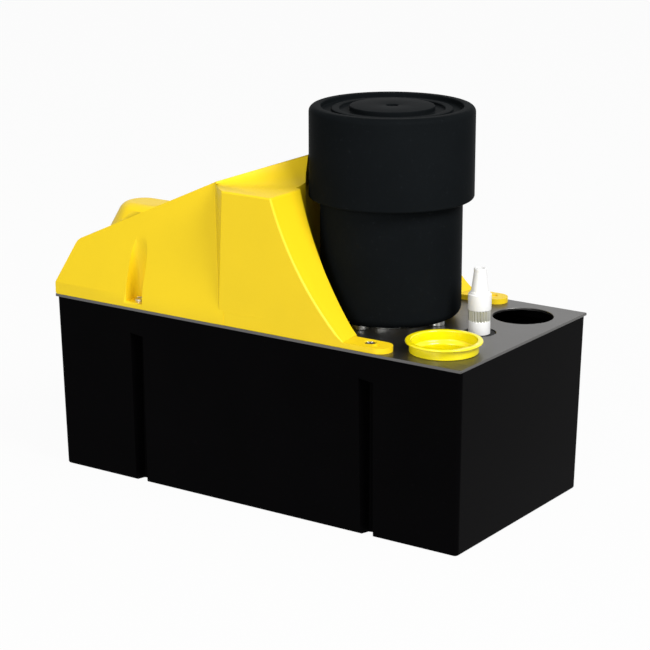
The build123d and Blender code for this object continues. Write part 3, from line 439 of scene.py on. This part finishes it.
def coil(name, centre, low, high, radius, wire, turns):
    """Closed wire round a helix, with lengths in millimetres and w shrunk to nothing at both ends:
    point(s, t) = centre + ((R + w cos t) cos s, (R + w cos t) sin s, z(s) + w sin t)."""
    steps, sides, sharp = 36, 14, 60.0
    whole = 2 * math.pi * turns
    s = whole * np.linspace(0, 1, turns * steps + 1)
    w = np.full(len(s) + 2, wire)
    w[[0, -1]] = 0.0
    s = np.pad(s, 1, mode="edge")[:, None]
    w = w[:, None]
    t = np.linspace(0, 2 * math.pi, sides, endpoint=False)[None, :]
    z = low + wire + (high - low - 2 * wire) * s / whole
    ring = radius + w * np.cos(t)
    points = np.stack([ring * np.cos(s), ring * np.sin(s), z + w * np.sin(t)], -1) * MM
    points += np.array([*centre, 0.0])
    return mesh_piece(name, points.reshape(-1, 3), grid_faces(len(s), sides, False), sharp)


def has_room(edge, radius):
    """True where both faces are wide against the radius, and no short or nearly parallel edge
    meets the ends."""
    if len(edge.link_faces) != 2:
        return False
    for face in edge.link_faces:
        if face.calc_area() < FACE_ROOM * radius * edge.calc_length():
            return False
    for end in edge.verts:
        along = (edge.other_vert(end).co - end.co).normalized()
        for other in end.link_edges:
            away = other.other_vert(end).co - end.co
            blocks = away.length < END_ROOM * radius or away.normalized().dot(along) > ALONG
            if other is not edge and blocks:
                return False
    return True


def softened(name, node, radius, angle=24.0, segments=3):
    """A node's own shape with its moulded edges rounded: merged copy, flat faces joined, then a
    bevel of the edges that have room for it."""
    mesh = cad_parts[node].data.copy()
    bm = bmesh.new()
    bm.from_mesh(mesh)
    bmesh.ops.remove_doubles(bm, verts=bm.verts, dist=DOUBLE)
    bmesh.ops.dissolve_limit(bm, angle_limit=FLAT, verts=bm.verts, edges=bm.edges)
    weight = bm.edges.layers.float.new("bevel_weight_edge")
    for edge in bm.edges:
        edge[weight] = float(has_room(edge, radius) and edge.calc_face_angle() > math.radians(angle))
    bm.to_mesh(mesh)
    bm.free()
    mesh.materials.clear()
    piece = finish_mesh(name, mesh, 30.0)
    bevel = piece.modifiers.new("Edges", "BEVEL")
    bevel.width = radius
    bevel.segments = segments
    bevel.limit_method = "WEIGHT"
    bevel.use_clamp_overlap = False
    flat = piece.modifiers.new("Flat faces", "WEIGHTED_NORMAL")
    flat.keep_sharp = True
    return piece


def dress(piece, body, slot, material, *nodes):
    """Gives a piece its body and material, and hides the nodes it stands for. The slot is not used."""
    piece.data.materials.clear()
    piece.data.materials.append(material)
    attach(piece, body)
    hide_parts(*nodes)


# Operators ----------------------------------------------------------------------------------


class PumpOperator:
    """What the operators share: their options, and the sizes and colours of the scene."""

    bl_options = {"REGISTER", "UNDO"}

    @property
    def edges(self):
        return bpy.context.scene.pump_edges

    @property
    def knurl(self):
        return bpy.context.scene.pump_knurl

    def tint(self, name):
        return tuple(getattr(bpy.context.scene.pump_colours, name))


class PUMP_OT_tank(PumpOperator, Operator):
    """Tank moulding with rounded edges and a glossy black skin"""

    bl_idname = "pump.tank"
    bl_label = "Tank"

    def execute(self, context):
        skin = black_plastic("tank_moulding", self.tint("tank"), 0.34, ior=1.06, grain=0.00001)
        dress(softened("tank_shell", "tank", self.edges.tank), "base", "tank_black", skin, "tank")
        return {"FINISHED"}


class PUMP_OT_lid(PumpOperator, Operator):
    """Lid of rolled steel sheet"""

    bl_idname = "pump.lid"
    bl_label = "Lid"

    def execute(self, context):
        sheet = sheet_steel("rolled_sheet", self.tint("lid"))
        piece = softened("lid_sheet", "lid_plate", self.edges.lid, angle=50.0, segments=2)
        dress(piece, "base", "lid_steel", sheet, "lid_plate")
        return {"FINISHED"}


class PUMP_OT_cover(PumpOperator, Operator):
    """Yellow cover moulding with rounded edges"""

    bl_idname = "pump.cover"
    bl_label = "Cover"

    def execute(self, context):
        skin = moulded("cover_moulding", self.tint("cover"), 0.42, IOR=1.36)
        dress(softened("cover_shell", "cover", self.edges.cover), "base", "cover_yellow", skin, "cover")
        return {"FINISHED"}


class PUMP_OT_motor(PumpOperator, Operator):
    """Motor shroud, ringed cap and the bright ring they stand on"""

    bl_idname = "pump.motor"
    bl_label = "Motor"
    turns = 192

    def execute(self, context):
        centre = centre_of("motor_cap")
        skin = black_plastic("motor_moulding", self.tint("motor"), 0.42, ior=1.025, grain=0.000012)
        self.shroud(centre, skin)
        self.cap(centre, skin)
        self.ring(centre)
        return {"FINISHED"}

    def shroud(self, centre, skin):
        """Can with a floor round its bore and a wider lip at its top."""
        lip, base, top = round_mm("motor_shroud")
        wall, inside, bore = lip - 2.4, lip - 4.4, 14.0
        neck, floor = top - 2.0, base + 2.0
        points = [(bore, base), (wall, base), (wall, neck), (lip, neck), (lip, top), (inside, top)]
        points += [(inside, floor), (bore, floor)]
        radii = [0.4, 6.0, 0.3, 0.3, 0.5, 0.5, 4.0, 0.4]
        piece = lathe("motor_can", rounded(points, radii, steps=11), centre, self.turns)
        dress(piece, "base", "motor_black", skin, "motor_shroud")

    def cap(self, centre, skin):
        """Hood with a raised rim, ridge and disc in its top, and a seat for the shroud's lip inside."""
        out, base, top = round_mm("motor_cap")
        edge = self.edges.cap / MM
        rim, ridge, ridge_in, disc, dimple = 45.6, 38.8, 33.7, 27.3, 3.8
        deep, shallow = top - 3.2, top - 1.6
        throat, seat, wall = 46.2, 48.6, out - 2.6
        seat_low, seat_high, ceiling = base + 2.6, base + 8.5, top - 5.2
        points = [(throat, base), (out, base), (out, top), (rim, top), (rim, deep), (ridge, deep)]
        points += [(ridge, shallow), (ridge_in, shallow), (ridge_in, deep), (disc, deep), (disc, top)]
        points += [(dimple, top), (dimple, shallow), (0, shallow), (0, ceiling), (wall, ceiling)]
        points += [(wall, seat_high), (seat, seat_high), (seat, seat_low), (throat, seat_low)]
        radii = [0.6, 1.5, 6.0] + [edge] * 10 + [0, 0, 2.0, 0.5, 0.3, 0.3, 0.3]
        piece = lathe("motor_hood", rounded(points, radii), centre, self.turns)
        dress(piece, "base", "motor_black", skin, "motor_cap")

    def ring(self, centre):
        zinc = turned_metal("bright_zinc", (0.90, 0.90, 0.86), 0.22, centre)
        piece = softened("motor_foot_ring", "motor_mount_ring", self.edges.lid, angle=50.0, segments=2)
        dress(piece, "base", "ring_zinc", zinc, "motor_mount_ring")


class PUMP_OT_cup(PumpOperator, Operator):
    """Flanged inlet cup that lifts out of the lid"""

    bl_idname = "pump.cup"
    bl_label = "Inlet cup"

    def execute(self, context):
        flange, foot, top = round_mm("inlet_cup")
        lid = box_mm("lid_plate")[1][2]
        socket, wall, spigot, bore = 20.5, 21.7, 19.94, 18.54
        lip, funnel_high, funnel_low = top - 1.6, lid + 1.2, lid - 0.6
        points = [(bore, foot), (spigot, foot), (spigot, lid), (wall, lid), (wall, lip), (flange, lip)]
        points += [(flange, top), (socket, top), (socket, funnel_high), (bore, funnel_low)]
        outline = rounded(points, [0.4, 0.4, 0.2, 0.6, 0.8, 0.6, 0.8, 0.8, 1.8, 1.8])
        gloss = {"spread": 0.03, "grain": 0.000004, "Coat_Weight": 0.3, "Coat_Roughness": 0.1}
        skin = moulded("cup_moulding", self.tint("cup"), 0.24, **gloss)
        piece = lathe("lift_out_cup", outline, centre_of("inlet_cup"), turns=160)
        dress(piece, "inlet_cup", "cup_yellow", skin, "inlet_cup")
        return {"FINISHED"}


class PUMP_OT_valve(PumpOperator, Operator):
    """Outlet check valve: body, knurled ring, tapered hose nozzle and closing spring"""

    bl_idname = "pump.valve"
    bl_label = "Outlet valve"
    turns = 96
    neck = 4.6  # radius in millimetres at which the body, ring and nozzle meet

    def execute(self, context):
        centre = centre_of("valve_body")
        white = moulded("valve_moulding", self.tint("white"), 0.34, spread=0.04, grain=0.000006)
        edge = self.edges.turned / MM
        self.body(centre, white, edge)
        self.knurled_ring(centre)
        self.nozzle(centre, white, edge)
        self.spring(centre)
        return {"FINISHED"}

    def body(self, centre, white, edge):
        """Stem with a bore that widens above the valve's seat."""
        out, base, top = round_mm("valve_body")
        bore, seat = 3.2, top - 8.2
        points = [(bore, base), (out, base), (out, top), (self.neck, top), (self.neck, seat), (bore, seat)]
        outline = rounded(points, [0.3, edge, edge, 0.3, 0.2, 0.2])
        piece = lathe("valve_stem", outline, centre, self.turns)
        dress(piece, "base", "valve_white", white, "valve_body")

    def knurled_ring(self, centre):
        """Grip ring: radius(z, t) = r(z) - depth / 2 * (1 - cos(ridges t)), fading to round at both ends."""
        out, base, top = round_mm("valve_ring")
        middle, half = (top + base) / 2, (top - base) / 2
        corner, run_out, core = 0.5, 0.4, 6 * MM
        ridges, depth = self.knurl.ridges, self.knurl.depth
        z = middle - half * np.cos(np.linspace(0, math.pi, 21))
        past = np.clip((np.abs(z - middle) - half + corner) / corner, 0, 1)
        side = np.stack([out - corner * (1 - np.sqrt(1 - past**2)), z], -1)
        outline = np.vstack([side, [(self.neck, middle + half), (self.neck, middle - half)]])

        def grip(r, z, t):
            fade = np.clip((half - np.abs(z / MM - middle)) / run_out, 0, 1)
            return r - (r > core) * fade * depth * 0.5 * (1 - np.cos(ridges * t))

        metal = turned_metal("knurled_metal", (0.62, 0.62, 0.55), 0.34, centre)
        piece = lathe("valve_grip_ring", outline, centre, ridges * 12, grip)
        dress(piece, "base", "valve_metal", metal, "valve_ring")

    def nozzle(self, centre, white, edge):
        """Collar with a shoulder, and a cone that narrows to the hose's end."""
        base, top = round_mm("valve_nozzle")[1:]
        bore, collar, shoulder, root, tip = 2.6, 7.5, 6.5, 5.7, 4.1
        socket_top, collar_top, shoulder_top, cone_top = base + 6, base + 10.5, base + 11.8, top - 2.5
        points = [(bore, socket_top), (self.neck, socket_top), (self.neck, base), (collar, base)]
        points += [(collar, collar_top), (shoulder, collar_top), (shoulder, shoulder_top)]
        points += [(root, shoulder_top), (tip, cone_top), (tip, top), (bore, top)]
        radii = [0.2, 0.2, 0.3, edge, edge, 0.2, 0.4, 0.2, 1.0, 0.5, 0.4]
        piece = lathe("valve_hose_nozzle", rounded(points, radii), centre, self.turns)
        dress(piece, "base", "valve_white", white, "valve_nozzle")

    def spring(self, centre):
        """Closing spring: a coil from the foot to the top of its node, on a mesh of its own."""
        out, base, top = round_mm("valve_spring")
        wire, turns, lift = 0.35, 6, 2.5
        steel = turned_metal("spring_wire", (0.50, 0.50, 0.50), 0.25, centre)
        piece = coil("valve_closing_spring", centre, base, top, out - wire, wire, turns)
        dress(piece, "base", "spring_steel", steel, "valve_spring")
        keep = 1 - lift / (top - base)
        top * MM
        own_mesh(piece)


class PUMP_OT_fasteners(PumpOperator, Operator):
    """Pan-head cover screws with cross recesses"""

    bl_idname = "pump.fasteners"
    bl_label = "Cover screws"

    def execute(self, context):
        steel = turned_metal("bright_screw", (0.70, 0.70, 0.68), 0.24)
        screws = [self.screw(*place) for place in self.places("cover_screws")]
        points = np.vstack([p for p, f in screws])
        faces = np.vstack([f + count * len(p) for count, (p, f) in enumerate(screws)])
        piece = mesh_piece("cover_pan_screws", points, faces, 30.0)
        dress(piece, "base", "fastener_steel", steel, "cover_screws")
        return {"FINISHED"}

    @staticmethod
    def places(node):
        """Centre and top of each screw, from the node's own points in the four quarters of the plan."""
        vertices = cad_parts[node].data.vertices
        co = np.empty(3 * len(vertices), np.float32)
        vertices.foreach_get("co", co)
        co = co.reshape(-1, 3).astype(float)
        found = []
        for sx in (-1, 1):
            for sy in (-1, 1):
                part = co[(co[:, 0] * sx > 0) & (co[:, 1] * sy > 0)]
                middle = (part.min(0) + part.max(0)) / 2
                found.append((middle[0], middle[1], part[:, 2].max()))
        return found

    @staticmethod
    def screw(x, y, top):
        """Screw on a polar grid: z(r, t) = dome less a cross whose arms narrow towards their ends."""
        rings, turns = 40, 96
        head, shank, height, whole = 3.9 * MM, 2.0 * MM, 2.2 * MM, 18.2 * MM
        bulge, arm_width, arm_reach, arm_depth = 0.75 * MM, 0.52 * MM, 2.35 * MM, 1.25 * MM
        side_slope, end_slope = 0.12 * MM, 0.3 * MM
        t = np.linspace(0, 2 * math.pi, turns, endpoint=False)[None, :]
        s = np.linspace(0, 1, rings)[:, None]
        r = s * head + 0 * t
        u, v = np.abs(r * np.cos(t)), np.abs(r * np.sin(t))
        off, reach = np.minimum(u, v), np.maximum(u, v)
        width = arm_width * (1 - 0.25 * reach / head)
        inside = np.clip((width - off) / side_slope, 0, 1) * np.clip((arm_reach - reach) / end_slope, 0, 1)
        z = top - bulge * s**2.6 - arm_depth * inside
        cap = np.stack([x + r * np.cos(t), y + r * np.sin(t), z], -1).reshape(-1, 3)
        under, point = top - height, top - whole
        side_r = np.array([head, head, shank, shank, 0.0])[:, None]
        side_z = np.array([under + 0.2 * MM, under, under, point, point])[:, None]
        rest = [x + side_r * np.cos(t), y + side_r * np.sin(t), side_z + 0 * t]
        rest = np.stack(rest, -1).reshape(-1, 3)
        return np.vstack([cap, rest]), grid_faces(rings + len(side_r), turns, False)


class PUMP_OT_insides(PumpOperator, Operator):
    """Procedural finishes for the parts that keep their own shape"""

    bl_idname = "pump.insides"
    bl_label = "Inner parts"

    def execute(self, context):
        for material, nodes in (*self.metals(), *self.plastics(), *self.electrics()):
            for name in nodes:
                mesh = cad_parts[name].data
                mesh.materials.clear()
                mesh.materials.append(material)
        return {"FINISHED"}

    @staticmethod
    def metals():
        axis = centre_of("motor_cap")
        steel = turned_metal("ground_steel", (0.60, 0.60, 0.59), 0.28, axis)
        plated = turned_metal("plated_steel", (0.66, 0.66, 0.64), 0.30)
        casting = cast_metal("die_casting", (0.55, 0.55, 0.54))
        sheet = sheet_steel("bracket_sheet", (0.50, 0.50, 0.49))
        cores = stacked("core_laminations", (0.30, 0.30, 0.31), pitch=0.0005)
        copper = wound("varnished_copper", (0.62, 0.25, 0.08), axis)
        yield steel, ("motor_shaft", "lower_bearing", "upper_bearing", "impeller_nut")
        yield steel, ("run_float_rod", "alarm_float_rod")
        yield plated, ("board_screws", "through_bolts", "volute_screws", "hose_clips", "lever_pins")
        yield casting, ("lower_motor_bracket", "upper_motor_bracket")
        yield sheet, ("switch_bracket",)
        yield cores, ("stator_core", "rotor_core")
        yield copper, ("stator_windings",)

    @staticmethod
    def plastics():
        black = black_plastic("pump_moulding", (0.006, 0.006, 0.006), 0.45, ior=1.15, grain=0.00002)
        gland = black_plastic("gland_nylon", (0.012, 0.012, 0.013), 0.42, ior=1.42, grain=0.00001)
        nylon = moulded("natural_nylon", (0.74, 0.72, 0.64), 0.38)
        white = moulded("float_cap_white", (0.80, 0.79, 0.75), 0.4)
        cells = foam("float_foam", (0.78, 0.76, 0.70))
        seals = rubber("seal_rubber_skin", (0.010, 0.010, 0.010))
        yield black, ("pump_column", "volute", "volute_base", "intake_strainer")
        yield black, ("impeller", "water_slinger", "cooling_fan")
        yield gland, ("cable_gland", "gland_nut")
        yield nylon, ("float_guides", "board_standoffs", "run_lever", "alarm_lever")
        yield nylon, ("run_rod_spool", "alarm_rod_spool")
        yield white, ("valve_poppet",)
        yield cells, ("run_float", "alarm_float")
        yield seals, ("lid_seal", "valve_seal", "delivery_hose")

    @staticmethod
    def electrics():
        switches = black_plastic("switch_moulding", (0.014, 0.013, 0.014), 0.5, ior=1.45, grain=0.00001)
        yield switches, ("run_switch", "alarm_switch")
        yield moulded("relay_case", (0.030, 0.075, 0.26), 0.32), ("relays",)
        yield moulded("terminal_moulding", (0.03, 0.30, 0.08), 0.4), ("terminal_block",)
        yield moulded("capacitor_case", (0.72, 0.72, 0.70), 0.4), ("run_capacitor",)
        yield board_laminate("board_mask", (0.010, 0.11, 0.035)), ("circuit_board",)


class PUMP_OT_stage(PumpOperator, Operator):
    """White floor and surroundings, soft lamps and the camera"""

    bl_idname = "pump.stage"
    bl_label = "Stage"

    def execute(self, context):
        self.floor()
        self.world(context.scene)
        context.scene.view_settings.view_transform = "Standard"
        self.lamp("key_lamp", place=(1.45, -0.30, 1.55), power=44.0)
        self.lamp("front_lamp", place=(0.25, -1.90, 0.75), power=20.0)
        self.camera(context.scene)
        return {"FINISHED"}

    @staticmethod
    def aim(thing, place, target):
        """Puts a lamp or camera at a place and turns it to a target."""
        bpy.context.scene.collection.objects.link(thing)
        thing.location = place
        thing.rotation_euler = (Vector(target) - Vector(place)).to_track_quat("-Z", "Y").to_euler()

    @staticmethod
    def floor():
        """Matt floor that keeps the shadow, and is nearly white to the rays that show it."""
        reach, drop, grey, white_share = 6.0, 0.0002, 0.55, 0.96
        corners = [(-reach, -reach), (reach, -reach), (reach, reach), (-reach, reach)]
        mesh = bpy.data.meshes.new("floor")
        mesh.from_pydata([(x, y, -drop) for x, y in corners], [], [(0, 1, 2, 3)])
        floor = bpy.data.objects.new("floor", mesh)
        bpy.context.scene.collection.objects.link(floor)
        nodes = Nodes(bpy.data.materials.new("floor_white"))
        matt = nodes.node("ShaderNodeBsdfDiffuse", {}, {"Color": (grey, grey, grey, 1)})
        glow = nodes.node("ShaderNodeEmission")
        blend = nodes.node("ShaderNodeMixShader", {}, {0: nodes.seen() * white_share, 1: matt, 2: glow})
        nodes.node("ShaderNodeOutputMaterial", {}, {"Surface": blend})
        mesh.materials.append(nodes.data)

    @staticmethod
    def world(scene):
        """Surroundings that are white where they are seen, and light the object softly."""
        nodes = Nodes(bpy.data.worlds.new("studio"))
        levels = {"Value": nodes.seen(), "To Min": 0.2, "To Max": 1.0}
        strength = nodes.node("ShaderNodeMapRange", {}, levels)
        light = nodes.node("ShaderNodeBackground", {}, {"Color": (1, 1, 1, 1), "Strength": strength})
        nodes.node("ShaderNodeOutputWorld", {}, {"Surface": light})
        scene.world = nodes.data

    def lamp(self, name, place, power):
        data = bpy.data.lights.new(name, "AREA")
        data.shape = "DISK"
        data.size = 1.0
        data.energy = power
        self.aim(bpy.data.objects.new(name, data), place, (0.0, 0.0, 0.12))

    def camera(self, scene):
        data = bpy.data.cameras.new("camera")
        data.lens = 124.5
        data.sensor_width = 36.0
        scene.camera = bpy.data.objects.new("camera", data)
        self.aim(scene.camera, (0.8205, -1.1902, 0.5144), (0.00648, 0.0, 0.1069))


PIECES = (
    PUMP_OT_tank,
    PUMP_OT_lid,
    PUMP_OT_cover,
    PUMP_OT_motor,
    PUMP_OT_cup,
    PUMP_OT_valve,
    PUMP_OT_fasteners,
    PUMP_OT_insides,
    PUMP_OT_stage,
)


class PUMP_PT_sidebar(Panel):
    bl_label = "Condensate pump"
    bl_idname = "PUMP_PT_sidebar"
    bl_space_type = "VIEW_3D"
    bl_region_type = "UI"
    bl_category = "Pump"

    def draw(self, context):
        for group in (context.scene.pump_edges, context.scene.pump_knurl, context.scene.pump_colours):
            for name in group.bl_rna.properties.keys():
                if name not in {"rna_type", "name"}:
                    self.layout.prop(group, name)
        for piece in PIECES:
            self.layout.operator(piece.bl_idname)


GROUPS = {"pump_edges": PumpEdges, "pump_knurl": PumpKnurl, "pump_colours": PumpColours}


def register():
    for cls in (*GROUPS.values(), *PIECES, PUMP_PT_sidebar):
        bpy.utils.register_class(cls)
    for name, cls in GROUPS.items():
        setattr(bpy.types.Scene, name, PointerProperty(type=cls))


def unregister():
    for name in GROUPS:
        delattr(bpy.types.Scene, name)
    for cls in (PUMP_PT_sidebar, *reversed(PIECES), *GROUPS.values()):
        bpy.utils.unregister_class(cls)


def main():
    register()
    for piece in PIECES:
        call = getattr(bpy.ops.pump, piece.bl_idname.split(".")[1])
        if call() != {"FINISHED"}:
            raise RuntimeError(piece.bl_label + " didn't finish")
    bpy.context.view_layer.update()


if __name__ == "__main__":
    main()
